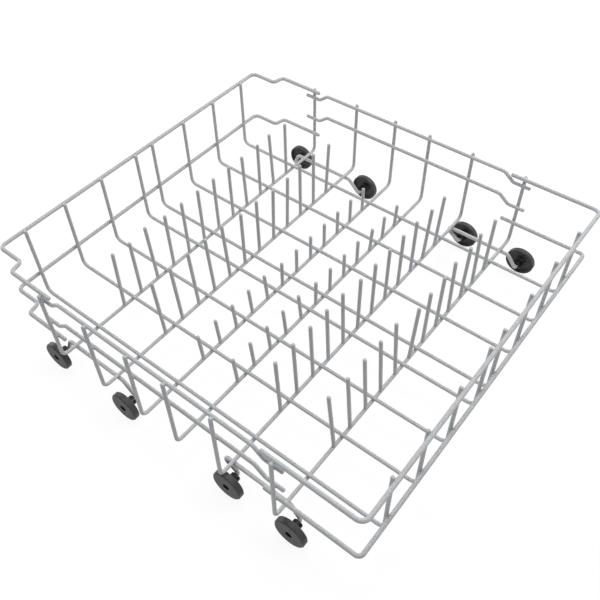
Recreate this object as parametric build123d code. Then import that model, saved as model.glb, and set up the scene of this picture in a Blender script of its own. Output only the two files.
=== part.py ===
from build123d import *
import os

# Lower dishwasher basket: coated steel wire welded where the wires cross, on eight plastic wheels.
# Millimetres, +Z up, front wall towards -Y. The origin lies on the surface that the wheels stand on,
# under the middle of the basket.

# Wire diameters, measured over the coating
GRID_WIRE = 4.5            # floor wires, side rails and tines
RIM_WIRE = 5.0             # rims and lower rings of the front and rear walls
WHEEL_WIRE = 5.0           # wires that carry the wheels
WELD_SEAM = 0.02           # seam between two wires where they are welded
END_ROUND = 1.6            # rounding of the coated wire ends

# Floor grid
LONG_PITCH = 60.0          # spacing of the wires that run from front to rear
CENTRE_PAIR = 30.0         # spacing of the two middle ones
LONG_PER_SIDE = 4
INNER_CROSS = 27.0         # distance of the cross wires from the middle, in pairs
MID_CROSS = 91.0
OUTER_CROSS = 165.0
FLOOR_HEIGHT = 46.0        # middle of the long wires above the surface
LONG_BEND = 9.0            # bend radii at the middle of the wire
CROSS_BEND = 8.0

# Walls
END_UPRIGHT_SPAN = 518.0   # front to rear uprights, middle to middle
SIDE_UPRIGHT_SPAN = 501.0  # left to right uprights, middle to middle
RIM_RISE = 103.5           # rims above the long wires
SIDE_RAIL_RISE = 67.5      # lower side rails above the long wires
LOWER_RING_RISE = 31.0     # lower rings above the long wires
END_TIP_RISE = 3.0         # tips of the end uprights above the middle of the rim
SIDE_TIP_RISE = 3.8        # and tips of the side uprights
CORNER_TIP_RISE = 1.5      # and tips of the side uprights next to the corners

# Rims and rings
REAR_STEP = 16.5           # how far the rear corners stand in from the side walls
STEP_SETBACK = 41.5        # middle of that step, in front of the rear wall
STEP_SLANT = 3.4           # length over which the step is made
STEP_BEND = 6.0
REAR_CORNER = 8.0
FRONT_RIM_CORNER = 9.0
FRONT_RING_CORNER = 6.0
REAR_OVERHANG = 12.5       # rear rim and ring run this far past the rear cross wire
FRONT_OVERHANG = 17.0      # and the front ones past the front cross wire

# Side rails, which drop at both ends to pass under the rims
RAIL_OVERHANG = 11.0       # past the outer cross wires
RAIL_DROP = 10.7
DROP_START = 26.0          # distance inside the outer cross wires where the drop starts
DROP_END = 12.5            # and where it ends
RAIL_BEND = 7.0

# Tines
TALL_TINE = 84.0           # tips above the long wires
SHORT_TINE = 36.0
TINE_SEAT = 1.2            # depth to which a tine's foot is coped over its cross wire
TINES_RIGHT = 7            # tines from the middle of the rack to the right
TINES_LEFT = 5
TALL_ROWS = (1, 2, 5, 6)
# Degrees by which plates have pressed the left five tines of these rows to the rear
LEFT_LEAN = {2: 3.5, 3: 5.5, 4: 5.5, 5: 2.5, 6: 4.5}
# Single bent tines, as (row, place from the right): degrees towards +X and towards +Y
BENT_TINES = {
    (1, 2): (-1.5, 1.5),
    (1, 4): (-2.0, 0.0),
    (1, 10): (0.0, 3.0),
    (1, 12): (3.0, 1.5),
    (2, 1): (0.0, -2.5),
    (2, 4): (0.0, -2.0),
    (2, 5): (0.0, -2.0),
    (4, 1): (-2.5, -3.5),
    (4, 2): (-1.5, -2.5),
    (4, 3): (0.0, -3.0),
    (5, 1): (0.0, -2.0),
    (5, 2): (0.0, -2.0),
    (6, 2): (-1.5, 1.5),
    (6, 4): (-1.0, 1.5),
    (6, 7): (2.0, -1.0),
    (6, 12): (0.0, 6.0),
}

# Wheels
WHEEL_RADIUS = 19.5
TREAD_WIDTH = 8.0
OUTER_CHAMFER = 1.4
INNER_CHAMFER = 0.9
RIM_THICKNESS = 2.8        # ring under the tread
WEB_THICKNESS = 3.0        # web at the hub
WEB_CONE = 1.4             # how much the web rises towards the tread
HUB_RADIUS = 5.8
HUB_LENGTH = 17.4          # outer face to the hub's inner end
HUB_CHAMFER = 0.7
END_HOLE_RADIUS = 4.4      # blind hole in the outer face
END_HOLE_DEPTH = 4.5
END_WALL = 1.5             # wall between that hole and the bore
AXLE_CLEARANCE = 0.06      # radial play of the wheel on its axle
SNAP_SLOT = 2.0            # slots that make the hub's inner end springy
SNAP_SLOT_LENGTH = 7.0
SNAP_RIDGE = 0.35          # height of the ridge that snaps into the axle's groove
SNAP_RIDGE_WIDTH = 1.0
SNAP_SETBACK = 1.4         # ridge from the hub's inner end
SNAP_PLAY = 0.15           # end play of the ridge in its groove
WHEEL_TO_CROSS = 0.7       # clearance of the third wheel from the cross wire above it

# Wheel wires
AXLE_END_GAP = 0.5         # axle end from the wall that closes the bore
HUB_END_GAP = 0.3          # hub's inner end from the bend of the leg
LEG_BEND = 3.5
SHOULDER_BEND = 6.0
HAIRPIN_BEND = 4.0
FIRST_WHEEL_OUT = 22.0     # first wheel behind the rear cross wire
FIRST_SHOULDER_OUT = 15.0
SECOND_WHEEL_IN = 25.0     # second wheel in front of the second cross wire
SECOND_SHOULDER_IN = 7.0
HAIRPIN_IN = 21.0          # corner of the third leg's hairpin behind the fifth cross wire
LAST_SHOULDER_OUT = 3.5    # fourth leg's shoulder in front of the front cross wire
LAST_WHEEL_OUT = 16.5
RIGHT_FRONT_SHIFT = 8.0    # the right front wheel wire is welded this much further forward

# Levels and planes that follow from these sizes
LONG_Z = FLOOR_HEIGHT
CROSS_Z = LONG_Z - GRID_WIRE - WELD_SEAM
WHEEL_WIRE_Z = CROSS_Z - (GRID_WIRE + WHEEL_WIRE) / 2 - WELD_SEAM
RIM_Z = LONG_Z + RIM_RISE
END_Y = END_UPRIGHT_SPAN / 2
SIDE_X = SIDE_UPRIGHT_SPAN / 2
RIM_Y = END_Y + (GRID_WIRE + RIM_WIRE) / 2 + WELD_SEAM
RIM_X = SIDE_X - (GRID_WIRE + RIM_WIRE) / 2 - WELD_SEAM
RAIL_X = SIDE_X - GRID_WIRE - WELD_SEAM
AXLE_Z = WHEEL_RADIUS
BORE_RADIUS = WHEEL_WIRE / 2 + AXLE_CLEARANCE
BORE_DEPTH = END_HOLE_DEPTH + END_WALL
AXLE_END_X = SIDE_X - BORE_DEPTH - AXLE_END_GAP
HUB_END_X = SIDE_X - HUB_LENGTH
WHEEL_WIRE_X = HUB_END_X - HUB_END_GAP - LEG_BEND
CROSS_STATIONS = (OUTER_CROSS, MID_CROSS, INNER_CROSS, -INNER_CROSS, -MID_CROSS, -OUTER_CROSS)
HALF_LONGS = [CENTRE_PAIR / 2 + LONG_PITCH * n for n in range(LONG_PER_SIDE)]
LONG_STATIONS = [-x for x in reversed(HALF_LONGS)] + HALF_LONGS

# The third wheel stands as near to the fifth cross wire as its tread allows
THIRD_REACH = WHEEL_RADIUS + GRID_WIRE / 2 + WHEEL_TO_CROSS
THIRD_WHEEL_OUT = max(THIRD_REACH**2 - (CROSS_Z - AXLE_Z) ** 2, 0) ** 0.5
REAR_WHEELS = (OUTER_CROSS + FIRST_WHEEL_OUT, MID_CROSS - SECOND_WHEEL_IN)
REAR_SHOULDERS = (OUTER_CROSS + FIRST_SHOULDER_OUT, MID_CROSS - SECOND_SHOULDER_IN)
FRONT_WHEELS = (-MID_CROSS - THIRD_WHEEL_OUT, -OUTER_CROSS - LAST_WHEEL_OUT)
FRONT_SHOULDERS = (HAIRPIN_IN - MID_CROSS, -OUTER_CROSS - LAST_SHOULDER_OUT)


def bent_wire(points, diameter, radii):
    """A round wire along straight runs and tangent arcs, with rounded ends."""
    path = FilletPolyline(*points, radius=radii)
    section = Plane(origin=path @ 0, z_dir=path % 0) * Circle(diameter / 2)
    rod = sweep(section, path=path)
    ends = rod.faces().filter_by(GeomType.PLANE).edges()
    return fillet(ends, min(END_ROUND, 0.4 * diameter))


def long_wire(x):
    """A floor wire from the front wall to the rear wall, lying on the cross wires."""
    tip_z = RIM_Z + END_TIP_RISE
    points = [(x, -END_Y, tip_z), (x, -END_Y, LONG_Z), (x, END_Y, LONG_Z), (x, END_Y, tip_z)]
    return bent_wire(points, GRID_WIRE, LONG_BEND)


def cross_wire(y):
    """A floor wire from wall to wall under the long wires, outside the side rails."""
    tip_z = RIM_Z + (SIDE_TIP_RISE if abs(y) < OUTER_CROSS else CORNER_TIP_RISE)
    points = [(-SIDE_X, y, tip_z), (-SIDE_X, y, CROSS_Z), (SIDE_X, y, CROSS_Z), (SIDE_X, y, tip_z)]
    return bent_wire(points, GRID_WIRE, CROSS_BEND)


def tine_places():
    """Tines stand a quarter pitch to each side of the long wires, from right to left."""
    quarter = LONG_PITCH / 4
    spots = [x + side * quarter for x in HALF_LONGS for side in (-1, 1)]
    right = spots[:TINES_RIGHT]
    left = [-x for x in spots[1:TINES_LEFT + 1]]
    return list(reversed(right)) + left


def tine(x, y, tip_z, lean_x, lean_y):
    """A straight rod with a round tip, its foot coped over the cross wire that carries it."""
    foot_z = CROSS_Z + GRID_WIRE / 2 - TINE_SEAT
    rod = Cylinder(GRID_WIRE / 2, tip_z - foot_z, align=(Align.CENTER, Align.CENTER, Align.MIN))
    rod = fillet(rod.edges().sort_by(Axis.Z)[-1], min(END_ROUND, 0.4 * GRID_WIRE))
    seat = Pos(x, y, CROSS_Z) * Rot(0, 90, 0) * Cylinder(GRID_WIRE / 2 + WELD_SEAM, 4 * GRID_WIRE)
    return Pos(x, y, foot_z) * Rot(-lean_y, lean_x, 0) * rod - seat


def tine_row(row):
    """The tines of one cross wire, counted from the rear; the middle two rows are short."""
    rise = TALL_TINE if row in TALL_ROWS else SHORT_TINE
    y = CROSS_STATIONS[row - 1]
    rods = []
    for place, x in enumerate(tine_places(), start=1):
        pressed = LEFT_LEAN.get(row, 0.0) if place > TINES_RIGHT else 0.0
        lean_x, lean_y = BENT_TINES.get((row, place), (0.0, pressed))
        rods.append(tine(x, y, LONG_Z + rise, lean_x, lean_y).solid())
    return Compound(rods)


def rear_wire(z):
    """A U round the rear wall, stepped in at both sides in front of the rear corners."""
    end_y = OUTER_CROSS - REAR_OVERHANG
    corner_x = RIM_X - REAR_STEP
    step_y = RIM_Y - STEP_SETBACK
    right = [
        (corner_x, RIM_Y, z),
        (corner_x, step_y + STEP_SLANT / 2, z),
        (RIM_X, step_y - STEP_SLANT / 2, z),
        (RIM_X, end_y, z),
    ]
    left = [(-x, y, h) for x, y, h in reversed(right)]
    radii = [STEP_BEND, STEP_BEND, REAR_CORNER, REAR_CORNER, STEP_BEND, STEP_BEND]
    return bent_wire(left + right, RIM_WIRE, radii)


def front_wire(z, corner):
    """A U round the front wall, welded to the outside of its uprights."""
    end_y = FRONT_OVERHANG - OUTER_CROSS
    points = [(-RIM_X, end_y, z), (-RIM_X, -RIM_Y, z), (RIM_X, -RIM_Y, z), (RIM_X, end_y, z)]
    return bent_wire(points, RIM_WIRE, corner)


def side_rail(side, z):
    """A rail inside the uprights of one side wall; its ends drop to pass under the rims."""
    x = side * RAIL_X
    rear = [
        (x, OUTER_CROSS + RAIL_OVERHANG, z - RAIL_DROP),
        (x, OUTER_CROSS - DROP_END, z - RAIL_DROP),
        (x, OUTER_CROSS - DROP_START, z),
    ]
    front = [(x, -y, h) for x, y, h in reversed(rear)]
    return bent_wire(rear + front, GRID_WIRE, RAIL_BEND)


def axle_groove(side, y):
    """The ring that is cut round an axle for the hub's snap ridge."""
    width = SNAP_RIDGE_WIDTH + 2 * SNAP_PLAY
    root = BORE_RADIUS - SNAP_RIDGE - AXLE_CLEARANCE
    ring = Cylinder(WHEEL_WIRE, width) - Cylinder(root, width)
    x = side * (HUB_END_X + SNAP_SETBACK + SNAP_RIDGE_WIDTH / 2)
    return Pos(x, y, AXLE_Z) * Rot(0, 90, 0) * ring


def wheel_wire(side, wheels, shoulders, bends):
    """A wire under two cross wires, bent down and out at both ends into an axle for a wheel."""
    x = side * WHEEL_WIRE_X
    axle_end = side * AXLE_END_X
    first, last = wheels
    points = [
        (axle_end, first, AXLE_Z),
        (x, first, AXLE_Z),
        (x, shoulders[0], WHEEL_WIRE_Z),
        (x, shoulders[1], WHEEL_WIRE_Z),
        (x, last, AXLE_Z),
        (axle_end, last, AXLE_Z),
    ]
    rod = bent_wire(points, WHEEL_WIRE, [LEG_BEND, *bends, LEG_BEND])
    return rod - axle_groove(side, first) - axle_groove(side, last)


def wheel(side, y):
    """One moulding: tread ring, coned web and a long hub with a slotted, ridged inner end."""
    inner_ring = WHEEL_RADIUS - RIM_THICKNESS
    ridge_in = HUB_LENGTH - SNAP_SETBACK
    ridge_out = ridge_in - SNAP_RIDGE_WIDTH
    outline = [
        (0, END_HOLE_RADIUS),
        (0, WHEEL_RADIUS - OUTER_CHAMFER),
        (OUTER_CHAMFER, WHEEL_RADIUS),
        (TREAD_WIDTH - INNER_CHAMFER, WHEEL_RADIUS),
        (TREAD_WIDTH, WHEEL_RADIUS - INNER_CHAMFER),
        (TREAD_WIDTH, inner_ring),
        (WEB_THICKNESS + WEB_CONE, inner_ring - WEB_CONE / 2),
        (WEB_THICKNESS, HUB_RADIUS),
        (HUB_LENGTH - HUB_CHAMFER, HUB_RADIUS),
        (HUB_LENGTH, HUB_RADIUS - HUB_CHAMFER),
        (HUB_LENGTH, BORE_RADIUS),
        (ridge_in, BORE_RADIUS),
        (ridge_in, BORE_RADIUS - SNAP_RIDGE),
        (ridge_out, BORE_RADIUS - SNAP_RIDGE),
        (ridge_out, BORE_RADIUS),
        (BORE_DEPTH, BORE_RADIUS),
        (BORE_DEPTH, 0),
        (END_HOLE_DEPTH, 0),
        (END_HOLE_DEPTH, END_HOLE_RADIUS),
    ]
    profile = make_face(Polyline(*[(-depth, radius) for depth, radius in outline], close=True))
    moulding = revolve(profile, Axis.X)
    slot_x = SNAP_SLOT_LENGTH / 2 - HUB_LENGTH
    for turn in (45, 135):
        moulding -= Pos(slot_x, 0, 0) * Rot(turn, 0, 0) * Box(SNAP_SLOT_LENGTH, SNAP_SLOT, 3 * HUB_RADIUS)
    facing = 0 if side > 0 else 180
    return Pos(side * SIDE_X, y, AXLE_Z) * Rot(0, 0, facing) * moulding


def pieces():
    """Every piece of the basket, by the name of its node."""
    made = {}
    for number, x in enumerate(LONG_STATIONS, start=1):
        made[f"long_wire_{number}"] = long_wire(x)
    for number, y in enumerate(CROSS_STATIONS, start=1):
        made[f"cross_wire_{number}"] = cross_wire(y)
        made[f"tine_row_{number}"] = tine_row(number)
    made["rear_rim_wire"] = rear_wire(RIM_Z)
    made["rear_lower_wire"] = rear_wire(LONG_Z + LOWER_RING_RISE)
    made["front_rim_wire"] = front_wire(RIM_Z, FRONT_RIM_CORNER)
    made["front_lower_wire"] = front_wire(LONG_Z + LOWER_RING_RISE, FRONT_RING_CORNER)
    rear_bends = (SHOULDER_BEND, SHOULDER_BEND)
    front_bends = (HAIRPIN_BEND, SHOULDER_BEND)
    for name, side, shift in (("left", -1, 0.0), ("right", 1, RIGHT_FRONT_SHIFT)):
        made[f"{name}_side_rim_wire"] = side_rail(side, RIM_Z)
        made[f"{name}_side_lower_wire"] = side_rail(side, LONG_Z + SIDE_RAIL_RISE)
        front_wheels = [y - shift for y in FRONT_WHEELS]
        front_shoulders = [y - shift for y in FRONT_SHOULDERS]
        made[f"{name}_rear_wheel_wire"] = wheel_wire(side, REAR_WHEELS, REAR_SHOULDERS, rear_bends)
        made[f"{name}_front_wheel_wire"] = wheel_wire(side, front_wheels, front_shoulders, front_bends)
        for number, y in enumerate([*REAR_WHEELS, *front_wheels], start=1):
            made[f"{name}_wheel_{number}"] = wheel(side, y)
    return made


os.makedirs("parts", exist_ok=True)
for node, shape in pieces().items():
    export_step(shape, f"parts/{node}.step")
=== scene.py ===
import math

import bmesh
import bpy
from mathutils import Matrix, Vector


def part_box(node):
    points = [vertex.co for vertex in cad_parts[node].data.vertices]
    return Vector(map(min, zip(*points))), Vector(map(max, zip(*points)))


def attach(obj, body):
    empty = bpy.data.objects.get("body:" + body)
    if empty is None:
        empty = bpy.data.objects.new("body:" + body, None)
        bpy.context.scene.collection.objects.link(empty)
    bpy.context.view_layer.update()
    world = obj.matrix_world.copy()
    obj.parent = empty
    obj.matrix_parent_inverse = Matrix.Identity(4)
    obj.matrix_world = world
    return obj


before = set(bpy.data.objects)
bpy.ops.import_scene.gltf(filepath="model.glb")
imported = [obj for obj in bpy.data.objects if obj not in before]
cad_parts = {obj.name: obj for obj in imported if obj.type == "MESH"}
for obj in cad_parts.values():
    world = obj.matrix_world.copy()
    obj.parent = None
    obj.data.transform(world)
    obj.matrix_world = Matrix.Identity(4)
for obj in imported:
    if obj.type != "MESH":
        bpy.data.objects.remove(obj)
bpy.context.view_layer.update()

# Floor grid. Eight long steel wires lie on six cross wires, all dipped in the same light grey nylon.
# Every crossing is resistance-welded first, so the coating runs into each corner as a small fillet.

LONG_WIRES = [f"long_wire_{n}" for n in range(1, 9)]
CROSS_WIRES = [f"cross_wire_{n}" for n in range(1, 7)]
GRID_RADIUS = 0.00225
NYLON_PALE = (0.47, 0.475, 0.485, 1.0)
NYLON_DULL = (0.40, 0.405, 0.415, 1.0)
NYLON_BUMP = 0.08
NYLON_SHEEN = 0.5
GRAIN_DEPTH = 0.0001
CLOUDS_PER_METRE = 38.0
PEBBLES_PER_METRE = 1500.0
PINHOLES_PER_METRE = 240.0
PINHOLE_EDGE = (0.05, 0.09)
CLOUD_SPREAD = (0.3, 0.7)
NYLON_ROUGHNESS = (0.36, 0.48)


def grain_group(name):
    """A node group for a grained skin: two tones go in, a colour, a roughness and a height come out."""
    group = bpy.data.node_groups.new(name, "ShaderNodeTree")
    group.interface.new_socket("Tone", in_out="INPUT", socket_type="NodeSocketColor")
    group.interface.new_socket("Shade", in_out="INPUT", socket_type="NodeSocketColor")
    group.interface.new_socket("Color", in_out="OUTPUT", socket_type="NodeSocketColor")
    group.interface.new_socket("Roughness", in_out="OUTPUT", socket_type="NodeSocketFloat")
    group.interface.new_socket("Height", in_out="OUTPUT", socket_type="NodeSocketFloat")
    return group


def noise(group, where, scale, detail):
    """Noise of so many grains to the metre."""
    made = group.nodes.new("ShaderNodeTexNoise")
    made.inputs["Scale"].default_value = scale
    made.inputs["Detail"].default_value = detail
    group.links.new(where, made.inputs["Vector"])
    return made.outputs["Fac"]


def ramp(group, value, start, end, low=0.0, high=1.0):
    """A value that goes from low to high while another goes from start to end."""
    made = group.nodes.new("ShaderNodeMapRange")
    made.inputs["From Min"].default_value = start
    made.inputs["From Max"].default_value = end
    made.inputs["To Min"].default_value = low
    made.inputs["To Max"].default_value = high
    group.links.new(value, made.inputs["Value"])
    return made.outputs["Result"]


def combine(tree, operation, first, second):
    """Two values made one by an operation such as MULTIPLY or MAXIMUM."""
    made = tree.nodes.new("ShaderNodeMath")
    made.operation = operation
    tree.links.new(first, made.inputs[0])
    tree.links.new(second, made.inputs[1])
    return made.outputs["Value"]


def two_tone(group, taken, share):
    """The group's shade where the share is 0 and its tone where it is 1."""
    made = group.nodes.new("ShaderNodeMix")
    made.data_type = "RGBA"
    group.links.new(share, made.inputs["Factor"])
    group.links.new(taken.outputs["Shade"], made.inputs["A"])
    group.links.new(taken.outputs["Tone"], made.inputs["B"])
    return made.outputs["Result"]


def coating_grain():
    """Node group: the cloudy tone, the pebbled skin and the few pinholes of a dipped coating."""
    group = grain_group("coating_grain")
    taken = group.nodes.new("NodeGroupInput")
    given = group.nodes.new("NodeGroupOutput")
    where = group.nodes.new("ShaderNodeTexCoord").outputs["Object"]

    cloud = noise(group, where, CLOUDS_PER_METRE, detail=3.0)
    pebble = noise(group, where, PEBBLES_PER_METRE, detail=2.0)
    pinholes = group.nodes.new("ShaderNodeTexVoronoi")
    pinholes.inputs["Scale"].default_value = PINHOLES_PER_METRE
    group.links.new(where, pinholes.inputs["Vector"])
    skin = ramp(group, pinholes.outputs["Distance"], *PINHOLE_EDGE)

    group.links.new(two_tone(group, taken, cloud), given.inputs["Color"])
    gloss = ramp(group, cloud, *CLOUD_SPREAD, *NYLON_ROUGHNESS)
    group.links.new(gloss, given.inputs["Roughness"])
    group.links.new(combine(group, "MULTIPLY", pebble, skin), given.inputs["Height"])
    return group


def grained_material(name, group, bump, sheen, **values):
    """A surface whose colour, roughness and bump come from one grain group, with an even sheen."""
    made = bpy.data.materials.new(name)
    made.use_nodes = True
    nodes = made.node_tree.nodes
    links = made.node_tree.links
    shader = nodes["Principled BSDF"]
    grain = nodes.new("ShaderNodeGroup")
    grain.node_tree = group
    for socket, value in values.items():
        grain.inputs[socket].default_value = value
    links.new(grain.outputs["Color"], shader.inputs["Base Color"])
    links.new(grain.outputs["Roughness"], shader.inputs["Roughness"])
    shader.inputs["Specular IOR Level"].default_value = sheen
    relief = nodes.new("ShaderNodeBump")
    relief.inputs["Strength"].default_value = bump
    relief.inputs["Distance"].default_value = GRAIN_DEPTH
    links.new(grain.outputs["Height"], relief.inputs["Height"])
    links.new(relief.outputs["Normal"], shader.inputs["Normal"])
    return made


def finish_node(name, material):
    """Give one frame node its finish."""
    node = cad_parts[name]
    node.data.materials.clear()
    node.data.materials.append(material)


coating = grained_material(
    "grey_nylon_coating", coating_grain(), NYLON_BUMP, NYLON_SHEEN, Tone=NYLON_PALE, Shade=NYLON_DULL
)
for wire in LONG_WIRES + CROSS_WIRES:
    finish_node(wire, coating)

FILLET_BLEND = 0.00042
FILLET_REACH = 0.0034
FILLET_AROUND = 12
FILLET_DOWN = 8
FILLET_HALVINGS = 14
EAST = Vector((1, 0, 0))
NORTH = Vector((0, 1, 0))
UP = Vector((0, 0, 1))


def wire_distance(place, wire):
    """Distance of a place from the skin of a wire, given as a point, a direction, a radius and an end."""
    point, direction, radius, end = wire
    away = place - point
    along = min(away.dot(direction), end)
    return (away - direction * along).length - radius


def coating_fillet(wires):
    """The skin of coating round the origin where two wires meet, as a small closed mesh."""
    bm = bmesh.new()
    bmesh.ops.create_uvsphere(bm, u_segments=FILLET_AROUND, v_segments=FILLET_DOWN, radius=FILLET_REACH)
    for vert in bm.verts:
        inside = 0.0
        outside = 1.0
        full = vert.co.copy()
        for _ in range(FILLET_HALVINGS):
            share = (inside + outside) / 2
            skins = [wire_distance(full * share, wire) for wire in wires]
            weight = sum(math.exp(-skin / FILLET_BLEND) for skin in skins)
            if weight > 1:
                inside = share
            else:
                outside = share
        vert.co = full * inside
    bmesh.ops.recalc_face_normals(bm, faces=bm.faces)
    mesh = bpy.data.meshes.new("fillet")
    bm.to_mesh(mesh)
    bm.free()
    return mesh


def crossing(low_radius, high_radius, low_end=math.inf):
    """The fillet of two wires that cross: one along X below the origin, one along Y above it."""
    low = (UP * -low_radius, EAST, low_radius, low_end)
    high = (UP * high_radius, NORTH, high_radius, math.inf)
    return coating_fillet([low, high])


def weld_piece(name, fillet, places):
    """One piece of many fillets, each put in place by a matrix."""
    bm = bmesh.new()
    for place in places:
        known = len(bm.verts)
        bm.from_mesh(fillet)
        bm.verts.ensure_lookup_table()
        bmesh.ops.transform(bm, matrix=place, verts=bm.verts[known:])
    for face in bm.faces:
        face.smooth = True
    mesh = bpy.data.meshes.new(name)
    bm.to_mesh(mesh)
    bm.free()
    piece = bpy.data.objects.new(name, mesh)
    bpy.context.scene.collection.objects.link(piece)
    mesh.materials.append(coating)
    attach(piece, "basket")


def stand(place, along, towards):
    """Matrix that puts a fillet at a place: its X along the first wire, its Z towards the second."""
    across = towards.cross(along)
    turn = Matrix((along, across, towards)).transposed().to_4x4()
    return Matrix.Translation(place) @ turn


def middle(node):
    """Middle of a node's box."""
    low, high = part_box(node)
    return (low + high) / 2


floor_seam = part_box("long_wire_1")[0].z
long_spots = [middle(wire).x for wire in LONG_WIRES]
cross_spots = [middle(wire).y for wire in CROSS_WIRES]
grid_places = [stand(Vector((x, y, floor_seam)), EAST, UP) for x in long_spots for y in cross_spots]
weld_piece("grid_welds", crossing(GRID_RADIUS, GRID_RADIUS), grid_places)

# Plate tines. Straight rods of the same wire, butt-welded on the cross wires in six rows of twelve.
# Their cut tips are rounded by the coating, and each foot stands in a small ring of it.

TINE_ROWS = [f"tine_row_{n}" for n in range(1, 7)]
FOOT_BAND = 0.004
TINE_GAP = 0.01

for row in TINE_ROWS:
    finish_node(row, coating)


def foot_spots(row):
    """Middle of each tine's foot along its row, read from the lowest band of the row's mesh."""
    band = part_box(row)[0].z + FOOT_BAND
    xs = sorted(v.co.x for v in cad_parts[row].data.vertices if v.co.z < band)
    spots = [[xs[0]]]
    for x in xs[1:]:
        if x - spots[-1][-1] > TINE_GAP:
            spots.append([])
        spots[-1].append(x)
    return [(spot[0] + spot[-1]) / 2 for spot in spots]


foot = coating_fillet([
    (UP * -GRID_RADIUS, EAST, GRID_RADIUS, math.inf),
    (Vector((0, 0, 0)), UP, GRID_RADIUS, math.inf),
])
foot_places = []
for row, y in zip(TINE_ROWS, cross_spots):
    foot_places += [stand(Vector((x, y, floor_seam)), EAST, UP) for x in foot_spots(row)]
weld_piece("tine_foot_welds", foot, foot_places)

# Rims and lower rings. Heavier wire of the same coated steel, bent to a U round each end of the basket.
# They are welded outside the end uprights and, by their free ends, inside the sides' corner uprights.
# The rear pair steps in at both sides just before those corner uprights.

RIMS = ["rear_rim_wire", "front_rim_wire"]
RINGS = ["rear_lower_wire", "front_lower_wire"]
RIM_RADIUS = 0.0025

for ring in RIMS + RINGS:
    finish_node(ring, coating)

end_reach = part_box("long_wire_1")[1].y
side_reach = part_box("cross_wire_1")[1].x - 2 * GRID_RADIUS
end_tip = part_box("long_wire_1")[1].z
corner_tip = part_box("cross_wire_1")[1].z


def side_weld(side, y, height):
    """Place where a wire inside a side wall touches one of its uprights."""
    return stand(Vector((side * side_reach, y, height)), UP, EAST * -side)


def end_welds(rings):
    """Places where rings touch the uprights of their end wall."""
    places = []
    for ring in rings:
        out = NORTH if ring.startswith("rear") else -NORTH
        height = middle(ring).z
        places += [stand(out * end_reach + EAST * x + UP * height, UP, out) for x in long_spots]
    return places


def corner_welds(rings):
    """Places where the free ends of rings touch the corner uprights of the sides."""
    places = []
    for ring in rings:
        y = cross_spots[0] if ring.startswith("rear") else cross_spots[-1]
        places += [side_weld(side, y, middle(ring).z) for side in (-1, 1)]
    return places


rim_height = middle("rear_rim_wire").z
end_stub = end_tip - rim_height - GRID_RADIUS
corner_stub = corner_tip - rim_height - GRID_RADIUS
weld_piece("rim_welds", crossing(GRID_RADIUS, RIM_RADIUS, end_stub), end_welds(RIMS))
weld_piece("ring_welds", crossing(GRID_RADIUS, RIM_RADIUS), end_welds(RINGS) + corner_welds(RINGS))
weld_piece("rim_end_welds", crossing(GRID_RADIUS, RIM_RADIUS, corner_stub), corner_welds(RIMS))

# Side rails. Two wires of the floor's gauge along each side wall, welded inside its six uprights.
# Both ends are joggled down so that they pass under the rims.

SIDES = {"left": -1, "right": 1}
SIDE_RIMS = [f"{side}_side_rim_wire" for side in SIDES]
SIDE_LOWERS = [f"{side}_side_lower_wire" for side in SIDES]

for rail in SIDE_RIMS + SIDE_LOWERS:
    finish_node(rail, coating)


def rail_welds(rails, spots, high):
    """Places where rails touch uprights, on their high run or on their dropped ends."""
    places = []
    for rail in rails:
        side = SIDES[rail.split("_")[0]]
        low_end, high_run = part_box(rail)
        height = high_run.z - GRID_RADIUS if high else low_end.z + GRID_RADIUS
        places += [side_weld(side, y, height) for y in spots]
    return places


side_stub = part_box("cross_wire_2")[1].z - rim_height - GRID_RADIUS
inner_spots = cross_spots[1:-1]
outer_spots = [cross_spots[0], cross_spots[-1]]
lower_places = rail_welds(SIDE_LOWERS, inner_spots, True)
dropped_places = rail_welds(SIDE_RIMS + SIDE_LOWERS, outer_spots, False)
side_rim_places = rail_welds(SIDE_RIMS, inner_spots, True)
weld_piece("rail_welds", crossing(GRID_RADIUS, GRID_RADIUS), lower_places + dropped_places)
weld_piece("side_rim_welds", crossing(GRID_RADIUS, GRID_RADIUS, side_stub), side_rim_places)

# Wheel wires. Four lengths of the heavier wire, coated with the rest, each welded under two cross wires.
# Both ends of each are bent down to a leg and out again to the axle of a wheel.

cross_under = floor_seam - 2 * GRID_RADIUS
cross_pairs = {"rear": cross_spots[:2], "front": cross_spots[-2:]}
hanger_places = []
for side_name, side in SIDES.items():
    for end, spots in cross_pairs.items():
        wire = f"{side_name}_{end}_wheel_wire"
        finish_node(wire, coating)
        low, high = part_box(wire)
        run = high.x - RIM_RADIUS if side < 0 else low.x + RIM_RADIUS
        hanger_places += [stand(Vector((run, y, cross_under)), NORTH, UP) for y in spots]
weld_piece("hanger_welds", crossing(RIM_RADIUS, GRID_RADIUS), hanger_places)

# Wheels. Eight mouldings of black plastic that snap over the axle ends and turn on them.
# The pebbled outer face has gone grey in use and the tread is rubbed darker, and the chamfer round the face
# has the tread's grey as painted shade.
# The hub and the blind hole in the face are darkened to near black: on the hub this is the plastic's black
# with painted shade, in the hole it is painted shade.

WHEELS = [f"{side}_wheel_{n}" for side in SIDES for n in range(1, 5)]
FACE_GREY = (0.105, 0.105, 0.11, 1.0)
TREAD_GREY = (0.055, 0.055, 0.058, 1.0)
# A fifth of the colour is kept on the hub, for its black plastic with painted shade, and in the hole, as
# painted shade.
BLACK_AND_PAINTED_SHADE = 0.2
SCUFF_SHARE = 0.6
MOULDING_BUMP = 0.5
MOULDING_SHEEN = 0.2
SCUFFS_PER_METRE = 160.0
STIPPLES_PER_METRE = 1900.0
# The face's tone ends 0.1 to 0.4 mm inside its plane, so its chamfer takes the tread's darker grey as
# painted shade.
FACE_EDGE_AND_CHAMFER_SHADE = (0.0004, 0.0001)
HUB_EDGE = (0.009, 0.0075)
HOLE_EDGE = (0.00442, 0.00455)
MOULDING_ROUGHNESS = (0.42, 0.62)

wheel_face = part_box("right_wheel_1")[1].x


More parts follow.
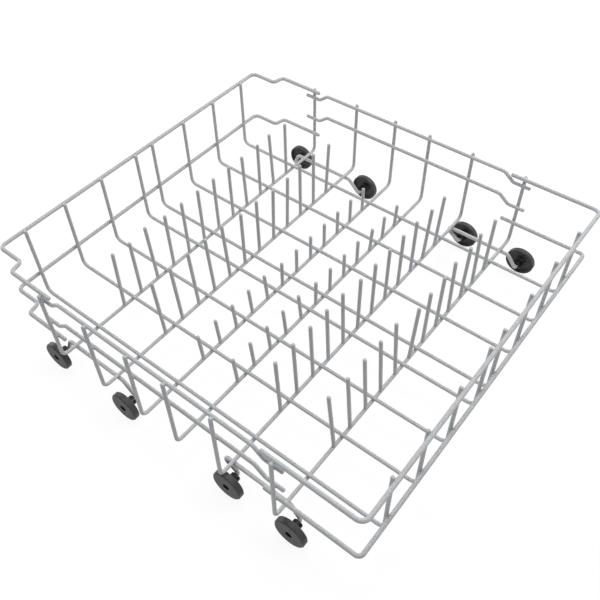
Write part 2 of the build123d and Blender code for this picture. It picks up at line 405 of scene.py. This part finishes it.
def moulding_grain():
    """Node group: a pebbled face and a smooth tread, with the tread's grey on the face's chamfer as painted
    shade, and near black on the hub (its black plastic with painted shade) and in the hole round the axle
    (painted shade).
    """
    group = grain_group("moulding_grain")
    group.interface.new_socket("Axle", in_out="INPUT", socket_type="NodeSocketVector")
    nodes = group.nodes
    links = group.links
    taken = nodes.new("NodeGroupInput")
    given = nodes.new("NodeGroupOutput")
    where = nodes.new("ShaderNodeTexCoord").outputs["Object"]

    axes = nodes.new("ShaderNodeSeparateXYZ")
    links.new(where, axes.inputs["Vector"])
    out = nodes.new("ShaderNodeMath")
    out.operation = "ABSOLUTE"
    links.new(axes.outputs["X"], out.inputs[0])
    # The face's grey stops short of its chamfer, which keeps the tread's darker grey as painted shade.
    face = ramp(group, out.outputs["Value"], wheel_face - FACE_EDGE_AND_CHAMFER_SHADE[0], wheel_face - FACE_EDGE_AND_CHAMFER_SHADE[1])
    # Black plastic with painted shade: the hub, more than 9 mm in from the outer face, is darkened to a
    # fifth.
    hub = ramp(group, out.outputs["Value"], wheel_face - HUB_EDGE[0], wheel_face - HUB_EDGE[1], BLACK_AND_PAINTED_SHADE)

    offset = nodes.new("ShaderNodeVectorMath")
    offset.operation = "SUBTRACT"
    links.new(where, offset.inputs[0])
    links.new(taken.outputs["Axle"], offset.inputs[1])
    across = nodes.new("ShaderNodeVectorMath")
    across.operation = "MULTIPLY"
    across.inputs[1].default_value = NORTH + UP
    links.new(offset.outputs["Vector"], across.inputs[0])
    radius = nodes.new("ShaderNodeVectorMath")
    radius.operation = "LENGTH"
    links.new(across.outputs["Vector"], radius.inputs[0])
    # Painted shade: within the hole's radius round the axle the colour is darkened to a fifth.
    hole = ramp(group, radius.outputs["Value"], *HOLE_EDGE, BLACK_AND_PAINTED_SHADE)

    worn = nodes.new("ShaderNodeMix")
    worn.data_type = "RGBA"
    worn.blend_type = "SOFT_LIGHT"
    worn.inputs["Factor"].default_value = SCUFF_SHARE
    links.new(two_tone(group, taken, face), worn.inputs["A"])
    links.new(noise(group, where, SCUFFS_PER_METRE, detail=4.0), worn.inputs["B"])
    # The scuffed greys are darkened by the hub's black and painted shade, and by painted shade in the hole.
    hub_black_and_hole_shade = nodes.new("ShaderNodeVectorMath")
    hub_black_and_hole_shade.operation = "SCALE"
    links.new(worn.outputs["Result"], hub_black_and_hole_shade.inputs["Vector"])
    links.new(combine(group, "MINIMUM", hub, hole), hub_black_and_hole_shade.inputs["Scale"])
    links.new(hub_black_and_hole_shade.outputs["Vector"], given.inputs["Color"])

    links.new(ramp(group, face, 0.0, 1.0, *MOULDING_ROUGHNESS), given.inputs["Roughness"])
    stipple = noise(group, where, STIPPLES_PER_METRE, detail=1.0)
    links.new(combine(group, "MULTIPLY", stipple, face), given.inputs["Height"])
    return group


moulding = moulding_grain()
for wheel in WHEELS:
    tones = {"Tone": FACE_GREY, "Shade": TREAD_GREY, "Axle": middle(wheel)}
    plastic = grained_material(f"{wheel}_plastic", moulding, MOULDING_BUMP, MOULDING_SHEEN, **tones)
    finish_node(wheel, plastic)

# Studio. A white paper floor under the wheels and a white surround, both seen as plain white.
# The floor still takes a faint shadow of the basket and throws a little light back up at it.

PAPER_HALF = 6.0
PAPER_WHITE = (0.8, 0.8, 0.8, 1.0)
PAPER_SHADOW = (0.09, 0.09, 0.09, 1.0)
PAPER_GLOW = 0.92
SURROUND_WHITE = (1.0, 1.0, 1.0, 1.0)
SURROUND_LIGHT = 0.37


def seen_directly(tree):
    """1 where the camera, a reflection or a see-through piece looks, and 0 for the light given off."""
    path = tree.nodes.new("ShaderNodeLightPath")
    mirrored = combine(tree, "MAXIMUM", path.outputs["Is Camera Ray"], path.outputs["Is Glossy Ray"])
    return combine(tree, "MAXIMUM", mirrored, path.outputs["Is Transmission Ray"])


def lit_or_seen(tree, lit, seen):
    """One shader for the light that a surface gives off and another for how it is seen."""
    choice = tree.nodes.new("ShaderNodeMixShader")
    tree.links.new(seen_directly(tree), choice.inputs["Fac"])
    tree.links.new(lit, choice.inputs[1])
    tree.links.new(seen, choice.inputs[2])
    return choice.outputs["Shader"]


def white_paper():
    """Paper that looks white, with a faint shadow, and lights the basket as a plain pale sheet."""
    made = bpy.data.materials.new("white_paper")
    made.use_nodes = True
    nodes = made.node_tree.nodes
    links = made.node_tree.links
    nodes.remove(nodes["Principled BSDF"])
    sheet = nodes.new("ShaderNodeBsdfDiffuse")
    sheet.inputs["Color"].default_value = PAPER_WHITE
    shadow = nodes.new("ShaderNodeBsdfDiffuse")
    shadow.inputs["Color"].default_value = PAPER_SHADOW
    glow = nodes.new("ShaderNodeEmission")
    glow.inputs["Strength"].default_value = PAPER_GLOW
    bright = nodes.new("ShaderNodeAddShader")
    links.new(shadow.outputs["BSDF"], bright.inputs[0])
    links.new(glow.outputs["Emission"], bright.inputs[1])
    surface = lit_or_seen(made.node_tree, sheet.outputs["BSDF"], bright.outputs["Shader"])
    links.new(surface, nodes["Material Output"].inputs["Surface"])
    return made


floor_mesh = bpy.data.meshes.new("floor")
bm = bmesh.new()
bmesh.ops.create_grid(bm, x_segments=1, y_segments=1, size=PAPER_HALF)
bm.to_mesh(floor_mesh)
bm.free()
floor_mesh.materials.append(white_paper())
floor = bpy.data.objects.new("floor", floor_mesh)
bpy.context.scene.collection.objects.link(floor)

surround = bpy.data.worlds.new("surround")
bpy.context.scene.world = surround
surround.use_nodes = True
air = surround.node_tree
haze = air.nodes["Background"]
haze.inputs["Color"].default_value = SURROUND_WHITE
haze.inputs["Strength"].default_value = SURROUND_LIGHT
wall = air.nodes.new("ShaderNodeBackground")
wall.inputs["Color"].default_value = SURROUND_WHITE
backdrop = lit_or_seen(air, haze.outputs["Background"], wall.outputs["Background"])
air.links.new(backdrop, air.nodes["World Output"].inputs["Surface"])

# Lamps. Four round soft boxes, none of them on the left, so that the near left wall lies in its own shade.
# The strongest is overhead and the two low ones pick out the far sides of the uprights.

LAMP_RANGE = 1.8
LAMP_SIZE = 0.7


def soft_box(name, azimuth, elevation, watts):
    """A round soft box that looks at the middle of the basket from a bearing and a height."""
    data = bpy.data.lights.new(name, "AREA")
    data.shape = "DISK"
    data.size = LAMP_SIZE
    data.energy = watts
    lamp = bpy.data.objects.new(name, data)
    bearing = Matrix.Rotation(math.radians(azimuth), 4, "Z")
    tilt = Matrix.Rotation(math.radians(90 - elevation), 4, "Y")
    lamp.matrix_world = bearing @ tilt @ Matrix.Translation(UP * LAMP_RANGE)
    bpy.context.scene.collection.objects.link(lamp)


soft_box("overhead", azimuth=0, elevation=90, watts=12.0)
soft_box("front_right", azimuth=315, elevation=48, watts=8.0)
soft_box("low_right", azimuth=0, elevation=18, watts=11.5)
soft_box("low_rear", azimuth=90, elevation=18, watts=10.5)

# Camera. A plain lens above the front left corner, looking down into the basket and rolled a little.
# Its place, its angles and its focal length were fitted to the straight wires.

FOCAL_PIXELS = 730.383
IMAGE_PIXELS = 600.0
PRINCIPAL = (281.939, 290.32)
SENSOR_WIDTH = 36.0
AZIMUTH = math.radians(-49.241)
ELEVATION = math.radians(48.229)
ROLL = math.radians(-2.512)
PLACE = Vector((-0.483391, -0.388145, 0.744130))

camera_data = bpy.data.cameras.new("camera")
camera_data.sensor_width = SENSOR_WIDTH
camera_data.lens = SENSOR_WIDTH * FOCAL_PIXELS / IMAGE_PIXELS
camera_data.shift_x = (IMAGE_PIXELS / 2 - PRINCIPAL[0]) / IMAGE_PIXELS
camera_data.shift_y = (PRINCIPAL[1] - IMAGE_PIXELS / 2) / IMAGE_PIXELS
camera = bpy.data.objects.new("camera", camera_data)
camera.matrix_world = (
    Matrix.Translation(PLACE)
    @ Matrix.Rotation(AZIMUTH, 4, "Z")
    @ Matrix.Rotation(math.pi / 2 - ELEVATION, 4, "X")
    @ Matrix.Rotation(ROLL, 4, "Z")
)
bpy.context.scene.collection.objects.link(camera)
bpy.context.scene.camera = camera
bpy.context.scene.view_settings.view_transform = "Standard"
